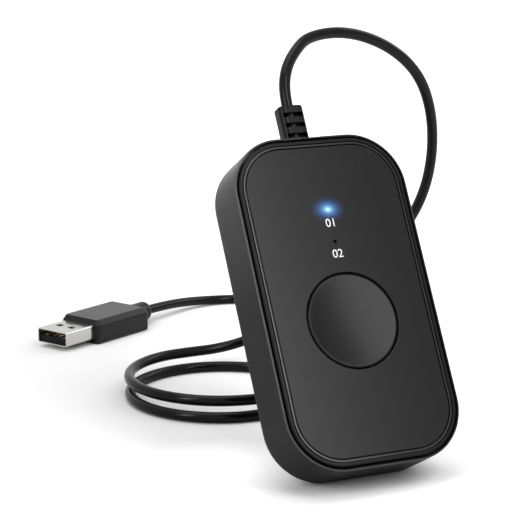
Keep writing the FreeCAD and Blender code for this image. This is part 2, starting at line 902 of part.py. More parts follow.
def make_plug_shell():
    """Thin metal shell with two latch windows above and two below."""
    length = plug_shell_shown + plug_shell_hidden
    shell = lengthways_block(plug_shell_width, plug_shell_thickness, plug_shell_corner, 0, length)
    hollow = lengthways_block(plug_shell_width - 2 * plug_shell_wall,
                              plug_shell_thickness - 2 * plug_shell_wall,
                              plug_shell_corner - plug_shell_wall, -overrun, length + overrun)
    cuts = [hollow]
    for side in (-1, 1):
        corner = Vector(latch_window_inset, side * latch_window_pitch / 2 - latch_window / 2,
                        plug_axis_height - plug_shell_thickness)
        cuts.append(Part.makeBox(latch_window, latch_window, 2 * plug_shell_thickness, corner))
    return shell.cut(cuts)


def make_plug_tongue():
    """Insulator in the lower half of the shell, full height at its rear."""
    inset = plug_shell_wall + tongue_fit
    height = plug_shell_thickness - 2 * inset
    length = plug_shell_shown + plug_shell_hidden
    whole = lengthways_block(plug_shell_width - 2 * inset, height, plug_shell_corner - inset,
                             tongue_inset, length)
    top = plug_axis_height - height / 2 + tongue_thickness
    space = Part.makeBox(length - tongue_block, plug_shell_width, height,
                         Vector(0, -plug_shell_width / 2, top))
    return whole.cut(space)


def make_plug_contacts():
    """Four flat contacts on the tongue, the outer two longer."""
    height = plug_shell_thickness - 2 * (plug_shell_wall + tongue_fit)
    top = plug_axis_height - height / 2 + tongue_thickness
    stop = plug_shell_shown + plug_shell_hidden - tongue_block
    pieces = []
    for step in range(contact_count):
        place = step - (contact_count - 1) / 2
        inner = abs(place) < 1
        start = contact_inset + (contact_step if inner else 0)
        corner = Vector(start, place * contact_pitch - contact_width / 2, top)
        pieces.append(Part.makeBox(stop - start, contact_width, contact_thickness, corner))
    return Part.makeCompound(pieces)


def make_plug_tail(grip_end):
    """Round tail of the grip, with a domed end that the cord comes out of."""
    def spot(along, radius):
        return Vector(along, 0, plug_axis_height + radius)

    start = grip_end - grip_line_depth - overrun
    dome_start = plug_length - tail_round
    dome_middle = spot(dome_start + tail_round * sqrt(0.5),
                       tail_end_radius + (tail_radius - tail_end_radius) * sqrt(0.5))
    corners = [spot(plug_length, tail_end_radius), spot(plug_length, 0), spot(start, 0),
               spot(start, tail_radius), spot(dome_start, tail_radius)]
    edges = [Part.LineSegment(a, b).toShape() for a, b in zip(corners, corners[1:])]
    edges.append(Part.Arc(corners[-1], dome_middle, corners[0]).toShape())
    return Part.Face(Part.Wire(edges)).revolve(spot(0, 0), Vector(1, 0, 0), 360)


def make_plug_body():
    """Moulded grip with a bevelled top, a line under the bevel, a shell pocket and a round tail."""
    grip_end = plug_shell_shown + grip_length

    def outline(height, side, front, rear, corner):
        middle = (plug_shell_shown + front + grip_end - rear) / 2
        return rounded_wire(grip_width - 2 * side, grip_length - front - rear, corner,
                            lambda a, b: Vector(middle + b, a, height))

    bevel_foot = grip_thickness - grip_top_drop
    grip = Part.makeLoft([outline(0, grip_foot, grip_foot, grip_foot, grip_top_corner),
                          outline(grip_foot, 0, 0, 0, grip_corner),
                          outline(bevel_foot, 0, 0, 0, grip_corner),
                          outline(grip_thickness, grip_top_side, grip_top_front, grip_top_rear,
                                  grip_top_corner)], True, True)
    line_foot = bevel_foot - grip_line_height
    line_inner = outline(line_foot, grip_line_depth, grip_line_depth, grip_line_depth,
                         grip_corner - grip_line_depth)
    line_rise = Vector(0, 0, grip_line_height)
    line = Part.makeBox(grip_length + 2 * overrun, grip_width + 2 * overrun, grip_line_height,
                        Vector(plug_shell_shown - overrun, -grip_width / 2 - overrun, line_foot))
    line = line.cut(Part.Face(line_inner).extrude(line_rise))
    pocket = lengthways_block(plug_shell_width, plug_shell_thickness, plug_shell_corner,
                              plug_shell_shown - overrun, plug_shell_shown + plug_shell_hidden)
    return joined([grip.cut(line), make_plug_tail(grip_end)]).cut(pocket)


def make_all():
    """Every piece under its name, in the standing frame."""
    loops, loops_start, loops_end = make_cord_loops()
    case_pieces = {
        "rear_shell": make_rear_shell(),
        "front_cover": make_front_cover(),
        "front_panel": make_front_panel(),
        "led_lens_upper": make_light_pipe(upper_light_height),
        "led_lens_lower": make_light_pipe(lower_light_height),
        "led_upper": make_lamp(upper_light_height),
        "led_lower": make_lamp(lower_light_height),
        "button_cap": make_button_cap(),
        "switch_body": make_switch_body(),
        "switch_plate": make_switch_plate(),
        "switch_plunger": make_switch_plunger(),
        "circuit_board": make_circuit_board(),
        "controller_chip": make_controller_chip(),
        "quartz_crystal": make_quartz_crystal(),
        "board_parts": make_board_parts(),
        "board_screws": make_board_screws(),
        "cable_header": make_cable_header(),
        "cable_socket": make_cable_socket(),
        "lead_wires": make_lead_wires(),
        "case_screws": make_case_screws(),
        "grip_pad": make_grip_pad(),
        "strain_relief": make_strain_relief(),
    }
    plug_pieces = {
        "plug_body": make_plug_body(),
        "plug_shell": make_plug_shell(),
        "plug_tongue": make_plug_tongue(),
        "plug_contacts": make_plug_contacts(),
    }
    pieces = {name: leaned(shape) for name, shape in case_pieces.items()}
    pieces.update({name: laid(shape) for name, shape in plug_pieces.items()})
    pieces["cord_rise"] = route_tube("cord_rise", rise_route(loops_start), cord_radius)
    pieces["cord_loops"] = loops
    pieces["cord_lead"] = route_tube("cord_lead", lead_route(loops_end), cord_radius)
    print("least gap between turns", round(least_turn_gap(), 2))
    return pieces


os.makedirs("parts", exist_ok=True)
for name, shape in make_all().items():
    shape.exportStep("parts/" + name + ".step")
    print(name, "solids", len(shape.Solids), "valid", shape.isValid(),
          "volume", round(shape.Volume, 2))
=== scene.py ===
# %% [markdown]
# # A button box on a cord
#
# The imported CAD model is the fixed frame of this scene: a flat rounded case that leans back on its
# lower rear edge, a round push button, two light windows, and a cord that lies behind the case and
# ends in a flat plug. Shapes and places come from the frame. This notebook adds the camera, the
# light, the free cord, the printed marks, the screw faces and every finish.

import json
from math import cos, pi, radians, sin

import bpy
from mathutils import Matrix, Vector

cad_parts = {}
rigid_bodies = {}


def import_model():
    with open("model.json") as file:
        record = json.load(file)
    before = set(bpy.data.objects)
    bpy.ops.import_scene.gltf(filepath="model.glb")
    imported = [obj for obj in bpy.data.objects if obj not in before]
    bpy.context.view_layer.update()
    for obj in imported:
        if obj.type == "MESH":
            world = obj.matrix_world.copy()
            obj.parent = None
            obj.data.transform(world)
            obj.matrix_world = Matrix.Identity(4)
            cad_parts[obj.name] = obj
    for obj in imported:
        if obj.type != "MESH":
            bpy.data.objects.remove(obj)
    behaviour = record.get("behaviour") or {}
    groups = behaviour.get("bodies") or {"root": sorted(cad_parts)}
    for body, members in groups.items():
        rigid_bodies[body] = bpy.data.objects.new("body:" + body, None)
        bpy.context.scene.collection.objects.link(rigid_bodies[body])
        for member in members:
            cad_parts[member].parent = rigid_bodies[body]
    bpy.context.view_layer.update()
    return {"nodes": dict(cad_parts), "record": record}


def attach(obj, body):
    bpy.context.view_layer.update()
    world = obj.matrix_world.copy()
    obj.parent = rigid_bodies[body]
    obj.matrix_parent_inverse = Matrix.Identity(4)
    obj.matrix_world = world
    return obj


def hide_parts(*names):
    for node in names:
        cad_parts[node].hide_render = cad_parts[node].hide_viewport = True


for leftover in list(bpy.data.objects):
    bpy.data.objects.remove(leftover)
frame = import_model()
scene = bpy.context.scene
scene.view_settings.view_transform = "Standard"
nodes = frame["nodes"]
mm = 0.001

# %% [markdown]
# ## The case's own frame
#
# The case was drawn upright and then leaned back, so its printed marks and screws are easiest to
# place in its own frame: X across, Y into the case from the front face, Z up from the lower end.
# The record gives the rubber pad's face and the direction it looks in. The lean follows from that
# direction, and the pad's middle is a point known in both frames.

# %% Stand a piece in the case's frame
case_length = 84.4 * mm
pad_face_depth = 17.5 * mm
rear_rest = next(mount for mount in frame["record"]["mounts"] if mount["name"] == "rear_rest")
rear_direction = Vector(rear_rest["axis"])
case_up = Vector((0, -rear_direction.z, rear_direction.y))
pad_middle = Vector((0, pad_face_depth, case_length / 2))
case_turn = Matrix((Vector((1, 0, 0)), rear_direction, case_up)).transposed()
case_angles = case_turn.to_euler()
case_stand = Matrix.Translation(Vector(rear_rest["pos_m"]) - case_turn @ pad_middle)
case_stand = case_stand @ case_turn.to_4x4()


def case_point(x, depth, height):
    """A point of the case's frame, in the row frame."""
    return case_stand @ Vector((x, depth, height))


print("Case corner in the row frame:", tuple(round(value, 4) for value in case_point(0, 0, 0)))

# %% [markdown]
# ## Camera
#
# The photograph was taken from the front left, a little above the case, with a long lens. The
# place, the direction and the lens below come from fitting a camera to the plug's standard metal
# shell, the case's edges, the button and the cord at once. A long lens far away keeps the case's
# sides nearly parallel, as they are in the photograph.

# %% Camera
camera_place = Vector((-212.43, -408.31, 153.32)) * mm
camera_azimuth = radians(25.174)
camera_drop = radians(12.451)
lens_length, sensor_width = 132.03, 36.0
nearest_seen, farthest_seen = 0.01, 20

camera_data = bpy.data.cameras.new("camera")
camera_data.lens = lens_length
camera_data.sensor_width = sensor_width
camera_data.clip_start = nearest_seen
camera_data.clip_end = farthest_seen
camera = bpy.data.objects.new("camera", camera_data)
camera.location = camera_place
camera.rotation_euler = (pi / 2 - camera_drop, 0, -camera_azimuth)
scene.collection.objects.link(camera)
scene.camera = camera
print("Camera distance:", round(camera_place.length, 3), "m")

# %% [markdown]
# ## Cord: the rise
#
# The cord is one soft black tube, 3 mm thick. It could be swept as a mesh, but a NURBS curve with
# a round bevel stays smooth at any zoom and keeps its route as a short list of points. The route is
# in three stretches. The first leaves the strain relief along the case, rises in one tall arc and
# falls behind the case. Its points were set against the photograph.

# %% Points of the rise
cord_diameter = 3.0 * mm
cord_radius = cord_diameter / 2
relief_depth, relief_length = 9.0 * mm, 11.2 * mm
relief_top = case_length + relief_length
exit_run = 4.3 * mm
cord_exit = case_point(0, relief_depth, relief_top)
rise_points = [
    cord_exit,
    case_point(0, relief_depth, relief_top + exit_run),
    Vector((1.7, 32.0, 94.9)) * mm,
    Vector((5.6, 35.5, 98.9)) * mm,
    Vector((12.0, 39.5, 103.0)) * mm,
    Vector((25.0, 41.5, 103.5)) * mm,
    Vector((38.0, 42.0, 98.8)) * mm,
    Vector((48.7, 45.0, 90.6)) * mm,
    Vector((54.4, 47.5, 80.0)) * mm,
    Vector((57.2, 51.0, 67.0)) * mm,
    Vector((57.0, 55.5, 54.0)) * mm,
    Vector((54.3, 63.0, 42.0)) * mm,
    Vector((47.5, 72.0, 30.0)) * mm,
    Vector((38.5, 82.0, 19.0)) * mm,
    Vector((26.5, 90.0, 10.5)) * mm,
    Vector((14.0, 94.2, 5.0)) * mm,
]
print("Cord leaves the relief at:", tuple(round(value, 4) for value in cord_exit))

# %% [markdown]
# ## Cord: the turns
#
# Behind the case the cord lies in one and a half loose turns, the upper one wider than the lower
# and a little to its side, because nothing ties them. A few listed points can't hold a circle, so
# the turns come from a formula with many points to a turn. Centre, radius and height ease from the
# upper turn to the lower one. A NURBS curve runs inside its control points, so they stand a little
# outside the radius that the cord should keep.

# %% Points of the turns
turn_gap = 0.5 * mm
upper_radius, upper_x, upper_y = 26.2 * mm, -0.5 * mm, 68.0 * mm
lower_radius, lower_x, lower_y = 25.5 * mm, -2.6 * mm, 64.0 * mm
upper_z = cord_radius + cord_diameter + turn_gap
lower_z = cord_radius
turn_start, climb_start, climb_end, turn_end = 90.0, 270.0, 420.0, 630.0
points_per_turn = 24


def turn_control(angle):
    """Control point of the turns at one angle, set out so that the curve keeps the radius."""
    share = min(max((angle - climb_start) / (climb_end - climb_start), 0), 1)
    blend = share * share * (3 - 2 * share)
    radius = (upper_radius + blend * (lower_radius - upper_radius)) / cos(pi / points_per_turn)
    centre_x = upper_x + blend * (lower_x - upper_x)
    centre_y = upper_y + blend * (lower_y - upper_y)
    height = upper_z + blend * (lower_z - upper_z)
    turned = radians(angle)
    return Vector((centre_x + radius * cos(turned), centre_y + radius * sin(turned), height))


turn_step = 360 / points_per_turn
turn_count = int((turn_end - turn_start) / turn_step)
turn_points = [turn_control(turn_start + turn_step * (step + 0.5)) for step in range(turn_count)]
print("Points in the turns:", len(turn_points))

# %% [markdown]
# ## Cord: the lead to the plug
#
# From the lower turn the cord runs right along the surface, swings round behind everything and
# comes back to the plug, which lies flat and points to the front left. The cord rises a little
# before the plug, because the plug's axis is higher than the cord's.

# %% Points of the lead
plug_mouth = Vector((-29.06, 131.86, 3.8)) * mm
plug_turn = radians(27.0)
plug_direction = Vector((cos(plug_turn), sin(plug_turn), 0))
plug_length, plug_exit_run = 44.0 * mm, 6.1 * mm
plug_end = plug_mouth + plug_direction * plug_length
lead_points = [
    Vector((14.0, 38.5, 1.5)) * mm,
    Vector((27.0, 44.5, 1.5)) * mm,
    Vector((37.0, 56.0, 1.5)) * mm,
    Vector((44.0, 73.0, 1.5)) * mm,
    Vector((49.0, 93.5, 1.5)) * mm,
    Vector((56.0, 114.0, 1.5)) * mm,
    Vector((59.0, 136.0, 1.5)) * mm,
    Vector((58.0, 150.0, 1.5)) * mm,
    Vector((51.5, 160.5, 1.5)) * mm,
    Vector((39.5, 164.5, 1.5)) * mm,
    Vector((27.0, 161.0, 2.8)) * mm,
    plug_end + plug_direction * plug_exit_run,
    plug_end,
]
route = rise_points + turn_points + lead_points
print("Route points:", len(route))

# %% [markdown]
# ## Cord: one curve
#
# The three stretches are one spline, so the covering runs on without a seam. Blender boxes a curve
# by the radius of its points, which is 1 metre unless it is set. So each point carries the cord's
# own radius, and the bevel depth is 1. The order is set after the points are in, because set
# before, it falls back to straight runs.

# %% Curve of the cord
round_steps, length_steps = 8, 10
cord_curve = bpy.data.curves.new("cord", "CURVE")
cord_curve.dimensions = "3D"
cord_curve.bevel_depth = 1.0
cord_curve.bevel_resolution = round_steps
cord_curve.resolution_u = length_steps
cord_curve.use_fill_caps = True
spline = cord_curve.splines.new("NURBS")
spline.points.add(len(route) - 1)
for point, place in zip(spline.points, route):
    point.co = (*place, 1)
    point.radius = cord_radius
spline.order_u = 3
spline.use_endpoint_u = True
cord = bpy.data.objects.new("cord", cord_curve)
scene.collection.objects.link(cord)
print("Cord control points:", len(spline.points))

# %% [markdown]
# ## Cord: what it is
#
# The cord rides with the housing, stands for the three plain lengths of the CAD model, and carries
# the strain relief and the plug at its ends. Its real length follows from the route.

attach(cord, "housing")
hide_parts("cord_rise", "cord_loops", "cord_lead")

# %% [markdown]
# ## Floor
#
# The photograph has a white ground with soft grey shadows that are darkest where a piece touches
# the ground. The floor is one pale sheet that reaches past every view.

# %% Floor sheet
floor_reach = 3.0
floor_mesh = bpy.data.meshes.new("floor")
floor_corners = [(-floor_reach, -floor_reach, 0), (floor_reach, -floor_reach, 0),
                 (floor_reach, floor_reach, 0), (-floor_reach, floor_reach, 0)]
floor_mesh.from_pydata(floor_corners, [], [(0, 1, 2, 3)])
floor = bpy.data.objects.new("floor", floor_mesh)
scene.collection.objects.link(floor)
print("Floor reach:", floor_reach, "m")

# %% [markdown]
# ## White for what looks at it
#
# The floor should bounce light as a real pale floor does, but look white. A few small nodes do
# that: rays from the camera, mirror rays and rays through glass see some white added, and the rays
# that light the object don't. The same test serves the world.

# %% Test for the studio


def seen_directly(tree):
    """1 for rays from the camera, mirror rays and rays through glass, otherwise 0."""
    path = tree.nodes.new("ShaderNodeLightPath")
    seen = path.outputs["Is Camera Ray"]
    for label in ("Is Glossy Ray", "Is Transmission Ray"):
        either = tree.nodes.new("ShaderNodeMath")
        either.operation = "MAXIMUM"
        tree.links.new(seen, either.inputs[0])
        tree.links.new(path.outputs[label], either.inputs[1])
        seen = either.outputs[0]
    return seen


print("Studio test ready")

# %% [markdown]
# ## Numbers in a node tree
#
# Two more helpers save most of the typing: one does maths on two values, and one maps a range of
# values to another range.

# %% Maths helpers


def maths(tree, operation, first, second):
    """Maths node on two sockets or numbers."""
    node = tree.nodes.new("ShaderNodeMath")
    node.operation = operation
    for place, value in enumerate((first, second)):
        if isinstance(value, (int, float)):
            node.inputs[place].default_value = value
        else:
            tree.links.new(value, node.inputs[place])
    return node.outputs[0]


def spread(tree, value, low, high, new_low=0.0, new_high=1.0):
    """Map a value's range to another range, clamped."""
    node = tree.nodes.new("ShaderNodeMapRange")
    node.inputs["From Min"].default_value = low
    node.inputs["From Max"].default_value = high
    node.inputs["To Min"].default_value = new_low
    node.inputs["To Max"].default_value = new_high
    tree.links.new(value, node.inputs["Value"])
    return node.outputs["Result"]


print("Maths helpers ready")

# %% [markdown]
# ## Vectors and materials
#
# Distances and offsets need vector maths, and every finish starts from the same plain material.
# Two more helpers keep the cells below short.

# %% Vector and material helpers
number_operations = ("DISTANCE", "LENGTH", "DOT_PRODUCT")


def vector_maths(tree, operation, first, second=None):
    """Vector maths node on sockets or fixed vectors. Gives a number where the operation does."""
    node = tree.nodes.new("ShaderNodeVectorMath")
    node.operation = operation
    for place, value in enumerate((first, second)):
        if isinstance(value, bpy.types.NodeSocket):
            tree.links.new(value, node.inputs[place])
        elif value is not None:
            node.inputs[place].default_value = value
    return node.outputs["Value" if operation in number_operations else "Vector"]


def new_material(name):
    """Material with nodes, with its node tree and its shader."""
    material = bpy.data.materials.new(name)
    material.use_nodes = True
    return material, material.node_tree, material.node_tree.nodes["Principled BSDF"]


print("Vector and material helpers ready")

# %% [markdown]
# ## Floor finish: where white is added
#
# The white that is added grows with the distance from the object, so the ground clears to white
# towards the edges of the picture. Right of the case it grows faster, as painted light that clears
# most of the case's shadow there, because the photograph shows hardly any shadow there. One spot at
# the left of the foot gets its own pool of painted light over the case's shadow, because there the
# photograph's ground is white up to the case.

# %% Reach of the added white
near_lift, far_lift = 0.08, 0.62
lift_start, lift_end = 0.0, 450 * mm
lift_centre = (0, 70 * mm, 0)
# Painted light right of the case, and a painted light spot left of the foot, over the case's shadow.
painted_light_right, right_start, right_end = 0.3, -15 * mm, 50 * mm
painted_spot_lift, spot_start, spot_end = 0.32, 8 * mm, 24 * mm
spot_place = (-28 * mm, 6 * mm, 0)
floor_material, floor_tree, floor_shader = new_material("studio floor")
floor_place = floor_tree.nodes.new("ShaderNodeTexCoord").outputs["Object"]
floor_distance = vector_maths(floor_tree, "DISTANCE", floor_place, lift_centre)
floor_round = spread(floor_tree, floor_distance, lift_start, lift_end, near_lift, far_lift)
floor_sides = floor_tree.nodes.new("ShaderNodeSeparateXYZ")
floor_tree.links.new(floor_place, floor_sides.inputs["Vector"])
floor_painted_light_right = spread(floor_tree, floor_sides.outputs["X"], right_start, right_end,
                     0.0, painted_light_right)
floor_fade = maths(floor_tree, "ADD", floor_round, floor_painted_light_right)
floor_aside = vector_maths(floor_tree, "DISTANCE", floor_place, spot_place)
# Painted light spot: added white that clears the case's shadow left of the foot.
floor_painted_spot = spread(floor_tree, floor_aside, spot_start, spot_end, painted_spot_lift, 0.0)
print("Floor lift:", near_lift, "to", far_lift)

# %% [markdown]
# ## Floor finish: the material
#
# The added white fades where something stands close above the floor, so that the contact shadows
# under the case, the cord and the plug stay dark. The Ambient Occlusion node knows how open each
# place is, and a power makes the fade steeper.

# %% Floor material
floor_tone = 0.82
floor_roughness, floor_specular = 0.9, 0.1
contact_reach, contact_power = 20 * mm, 1.5
floor_shader.inputs["Base Color"].default_value = (floor_tone, floor_tone, floor_tone, 1)
floor_shader.inputs["Roughness"].default_value = floor_roughness
floor_shader.inputs["Specular IOR Level"].default_value = floor_specular
floor_contact = floor_tree.nodes.new("ShaderNodeAmbientOcclusion")
floor_contact.inputs["Distance"].default_value = contact_reach
floor_open = maths(floor_tree, "POWER", floor_contact.outputs["AO"], contact_power)
floor_held = maths(floor_tree, "MULTIPLY", floor_fade, floor_open)
floor_lift = maths(floor_tree, "ADD", floor_held, floor_painted_spot)
floor_glow = maths(floor_tree, "MULTIPLY", seen_directly(floor_tree), floor_lift)
floor_shader.inputs["Emission Color"].default_value = (1, 1, 1, 1)
floor_tree.links.new(floor_glow, floor_shader.inputs["Emission Strength"])
floor.data.materials.append(floor_material)
print("Floor tone:", floor_tone)

# %% [markdown]
# ## World
#
# The world lights everything softly from all round at a plain level. Where the camera or a mirror
# ray looks at it, it is white, as the photograph's ground is.

# %% World
world_level = 0.4
world = bpy.data.worlds.new("studio world")
world.use_nodes = True
scene.world = world
world_tree = world.node_tree
world_light = world_tree.nodes["Background"]
world_light.inputs["Color"].default_value = (1, 1, 1, 1)
world_strength = spread(world_tree, seen_directly(world_tree), 0.0, 1.0, world_level, 1.0)
world_tree.links.new(world_strength, world_light.inputs["Strength"])
print("World level:", world_level)

# %% [markdown]
# ## Lamps
#
# Black plastic shows its form only through what it reflects, so each lamp stands where one surface
# mirrors it. The key lamp stands near and narrow in front, where the panel mirrors it, and draws
# the soft fall from light to dark across the panel and the button's dish. The left lamp draws the
# case's side and its edges. The right and top lamps draw the cord.

# %% Lamps
case_centre = case_point(0, 0, case_length / 2)


def add_lamp(name, place, width, height, power):
    """Broad soft lamp that looks at the middle of the case."""
    data = bpy.data.lights.new(name, "AREA")
    data.shape = "RECTANGLE"
    data.size = width
    data.size_y = height
    data.energy = power
    lamp = bpy.data.objects.new(name, data)
    lamp.location = place
    lamp.rotation_euler = (case_centre - Vector(place)).to_track_quat("-Z", "Y").to_euler()
    lamp.visible_camera = False
    scene.collection.objects.link(lamp)
    print(name, "at", place, power, "W")


add_lamp("key lamp", (0.10, -0.30, 0.34), 0.13, 0.34, 1.15)
add_lamp("left lamp", (-0.53, -0.15, 0.36), 0.12, 0.4, 1.5)
add_lamp("right lamp", (0.63, 0.13, 0.52), 0.12, 0.4, 0.9)
add_lamp("top lamp", (-0.1, 0.15, 0.9), 0.6, 0.6, 2.4)

# %% [markdown]
# ## Shared effects: how they are built
#
# Every moulded piece has a fine grain, a slightly uneven gloss, a faint haze from handling and
# edges that rub smooth first. Each of these is built once as a node group with named inputs and
# outputs. A group only puts out heights and masks, and each material decides what to do with them.

# %% Node group helpers


def new_group(name, inputs, outputs):
    """Empty shader node group with named sockets, and its input and output nodes."""
    group = bpy.data.node_groups.new(name, "ShaderNodeTree")
    for label, value in inputs:
        socket = group.interface.new_socket(name=label, in_out="INPUT",
                                            socket_type="NodeSocketFloat")
        socket.default_value = value
    for label in outputs:
        group.interface.new_socket(name=label, in_out="OUTPUT", socket_type="NodeSocketFloat")
    return group, group.nodes.new("NodeGroupInput"), group.nodes.new("NodeGroupOutput")


def placed(tree, group, **values):
    """Node that places a group in a material, with its own values."""
    node = tree.nodes.new("ShaderNodeGroup")
    node.node_tree = group
    for label, value in values.items():
        node.inputs[label.replace("_", " ")].default_value = value
    return node


print("Group helpers ready")

# %% [markdown]
# ## Shared effects: places and noise
#
# Every pattern is worked out from the place on the piece in metres, so that it has its real size
# and needs no unwrapping. Noise makes most of the patterns.

# %% Place and noise helpers


def noise(tree, place, scale, detail, roughness=0.5):
    """Noise over a place. Scale may be a socket."""
    node = tree.nodes.new("ShaderNodeTexNoise")
    node.inputs["Detail"].default_value = detail
    node.inputs["Roughness"].default_value = roughness
    tree.links.new(place, node.inputs["Vector"])
    if isinstance(scale, (int, float)):
        node.inputs["Scale"].default_value = scale
    else:
        tree.links.new(scale, node.inputs["Scale"])
    return node.outputs["Fac"]


def object_place(tree):
    """Position on the piece, in metres."""
    return tree.nodes.new("ShaderNodeTexCoord").outputs["Object"]


print("Place and noise helpers ready")

# %% [markdown]
# ## Shared effects: frames, tones and heights
#
# A mask that follows the leaning case or the turned plug has to know where a place lies in that
# piece's own frame. A Mapping node of the Texture kind turns the place back, and a Separate node
# gives its three parts. Most finishes also mix two near tones by a mask and turn a height into a
# Bump node. Noise keeps mostly to the middle of its range, so it is stretched from there.

# %% Frame, tone and height helpers
cloud_range = (0.3, 0.7)


def frame_parts(tree, origin, turn):
    """Parts of a place on the piece, along the axes of a frame with this origin and turn."""
    mapping = tree.nodes.new("ShaderNodeMapping")
    mapping.vector_type = "TEXTURE"
    mapping.inputs["Location"].default_value = origin
    mapping.inputs["Rotation"].default_value = turn
    tree.links.new(object_place(tree), mapping.inputs["Vector"])
    parts = tree.nodes.new("ShaderNodeSeparateXYZ")
    tree.links.new(mapping.outputs["Vector"], parts.inputs["Vector"])
    return parts.outputs


def tone_mix(tree, mask, first, second):
    """Colour between two tones, by a mask."""
    mix = tree.nodes.new("ShaderNodeMix")
    mix.data_type = "RGBA"
    mix.inputs["A"].default_value = (*first, 1)
    mix.inputs["B"].default_value = (*second, 1)
    tree.links.new(mask, mix.inputs["Factor"])
    return mix.outputs["Result"]


def bumped(tree, height, depth):
    """Bump node on a height. depth: how far a height of 1 stands out."""
    bump = tree.nodes.new("ShaderNodeBump")
    bump.inputs["Distance"].default_value = depth
    tree.links.new(height, bump.inputs["Height"])
    return bump.outputs["Normal"]


print("Frame, tone and height helpers ready")

# %% [markdown]
# ## Moulded grain
#
# A spark-eroded mould leaves a skin of tiny rounded pits. Noise alone looks like sand, so it is
# joined with a smooth Voronoi pattern, whose cells are round. A much wider noise makes the gloss
# drift a little from place to place, as it does where the melt flowed.

# %% Moulded grain group
grain_detail, grain_roughness = 3.0, 0.6
flow_detail, flow_range = 4.0, (0.15, 0.85)
grain_group, grain_in, grain_out = new_group(
    "moulded grain", [("Scale", 3000.0), ("Flow Scale", 60.0)], ["Height", "Gloss Change"])
grain_place = object_place(grain_group)
grain_fine = noise(grain_group, grain_place, grain_in.outputs["Scale"], grain_detail,
                   grain_roughness)
grain_pits = grain_group.nodes.new("ShaderNodeTexVoronoi")
grain_pits.feature = "SMOOTH_F1"
grain_group.links.new(grain_place, grain_pits.inputs["Vector"])
grain_group.links.new(grain_in.outputs["Scale"], grain_pits.inputs["Scale"])
grain_height = maths(grain_group, "ADD", grain_fine, grain_pits.outputs["Distance"])
grain_flow = noise(grain_group, grain_place, grain_in.outputs["Flow Scale"], flow_detail)
grain_drift = spread(grain_group, grain_flow, *flow_range)
grain_group.links.new(grain_height, grain_out.inputs["Height"])
grain_group.links.new(grain_drift, grain_out.inputs["Gloss Change"])
print("Grain group nodes:", len(grain_group.nodes))

# %% [markdown]
# ## Handling haze
#
# Fingers leave a faint, cloudy film on dark plastic. It is never even, so two noises of different
# size are multiplied, which leaves most of the surface clean and a few soft patches.

# %% Handling haze group
patch_detail, smear_scale, smear_detail = 3.0, 420.0, 2.0
haze_group, haze_in, haze_out = new_group(
    "handling haze", [("Amount", 0.03), ("Patch Scale", 45.0)], ["Haze"])
haze_place = object_place(haze_group)
haze_wide = noise(haze_group, haze_place, haze_in.outputs["Patch Scale"], patch_detail)
haze_small = noise(haze_group, haze_place, smear_scale, smear_detail)
haze_patch = maths(haze_group, "MULTIPLY", haze_wide, haze_small)
haze_group.links.new(maths(haze_group, "MULTIPLY", haze_patch, haze_in.outputs["Amount"]),
                     haze_out.inputs["Haze"])
print("Haze group nodes:", len(haze_group.nodes))

# %% [markdown]
# ## Rubbed front edges
#
# The front edges of the tub and of the frame's inner lip are touched first, so the grain is
# polished down and they draw a fine bright line. Both follow rounded rectangles in the case's
# frame, so the distance from such an outline can be worked out exactly: fold the place into one
# corner, and measure from that corner's centre. The mask is 1 on the outline, at the front, and
# fades within a short reach.

# %% Front edge group
edge_group, edge_in, edge_out = new_group(
    "front edge", [("Half Width", 0.02), ("Half Length", 0.04), ("Corner", 0.01),
                   ("Front", 0.0), ("Reach", 0.0003)], ["Edge"])
edge_parts = frame_parts(edge_group, case_centre, case_angles)


def corner_offset(place, half):
    """How far a place stands past the corner's centre, along one side."""
    folded = maths(edge_group, "ABSOLUTE", place, 0.0)
    centre = maths(edge_group, "SUBTRACT", half, edge_in.outputs["Corner"])
    return maths(edge_group, "SUBTRACT", folded, centre)


edge_across = corner_offset(edge_parts["X"], edge_in.outputs["Half Width"])
edge_along = corner_offset(edge_parts["Z"], edge_in.outputs["Half Length"])
print("Edge group nodes so far:", len(edge_group.nodes))

# %% [markdown]
# ## Rubbed front edges: the mask
#
# In the corner the distance is that of a circle, and along the sides it is the larger of the two
# offsets. The depth of the place then keeps the mask off the side walls.

# %% Front edge mask
fade_inward, fade_outward = (1.2, 0.9), (-0.3, -0.05)
edge_round = edge_group.nodes.new("ShaderNodeCombineXYZ")
edge_group.links.new(maths(edge_group, "MAXIMUM", edge_across, 0.0), edge_round.inputs["X"])
edge_group.links.new(maths(edge_group, "MAXIMUM", edge_along, 0.0), edge_round.inputs["Y"])
edge_length = vector_maths(edge_group, "LENGTH", edge_round.outputs["Vector"])
edge_larger = maths(edge_group, "MAXIMUM", edge_across, edge_along)
edge_straight = maths(edge_group, "MINIMUM", edge_larger, 0.0)
edge_reached = maths(edge_group, "ADD", edge_length, edge_straight)
edge_inset = maths(edge_group, "SUBTRACT", edge_in.outputs["Corner"], edge_reached)
edge_behind = maths(edge_group, "SUBTRACT", edge_parts["Y"], edge_in.outputs["Front"])
edge_near = maths(edge_group, "DIVIDE", edge_inset, edge_in.outputs["Reach"])
edge_shallow = maths(edge_group, "DIVIDE", edge_behind, edge_in.outputs["Reach"])
edge_inside = maths(edge_group, "MULTIPLY", spread(edge_group, edge_near, *fade_inward),
                    spread(edge_group, edge_near, *fade_outward))
edge_mask = maths(edge_group, "MULTIPLY", edge_inside,
                  spread(edge_group, edge_shallow, *fade_inward))
edge_group.links.new(edge_mask, edge_out.inputs["Edge"])
print("Edge group nodes:", len(edge_group.nodes))

# %% [markdown]
# ## Moulded plastic recipe
#
# All the moulded pieces share one recipe with different numbers: a dark base that the haze lifts a
# little, a gloss that drifts with the flow, and a grain that feeds a Bump node. The real plastics
# differ in gloss and grain more than in colour. A piece with rubbed front edges also gets a clear
# coat there, which is how polished plastic looks, and the strongest of its edges wins.

# %% Moulded plastic recipe
film_share, film_grey = 0.6, 0.05
coat_roughness = 0.18


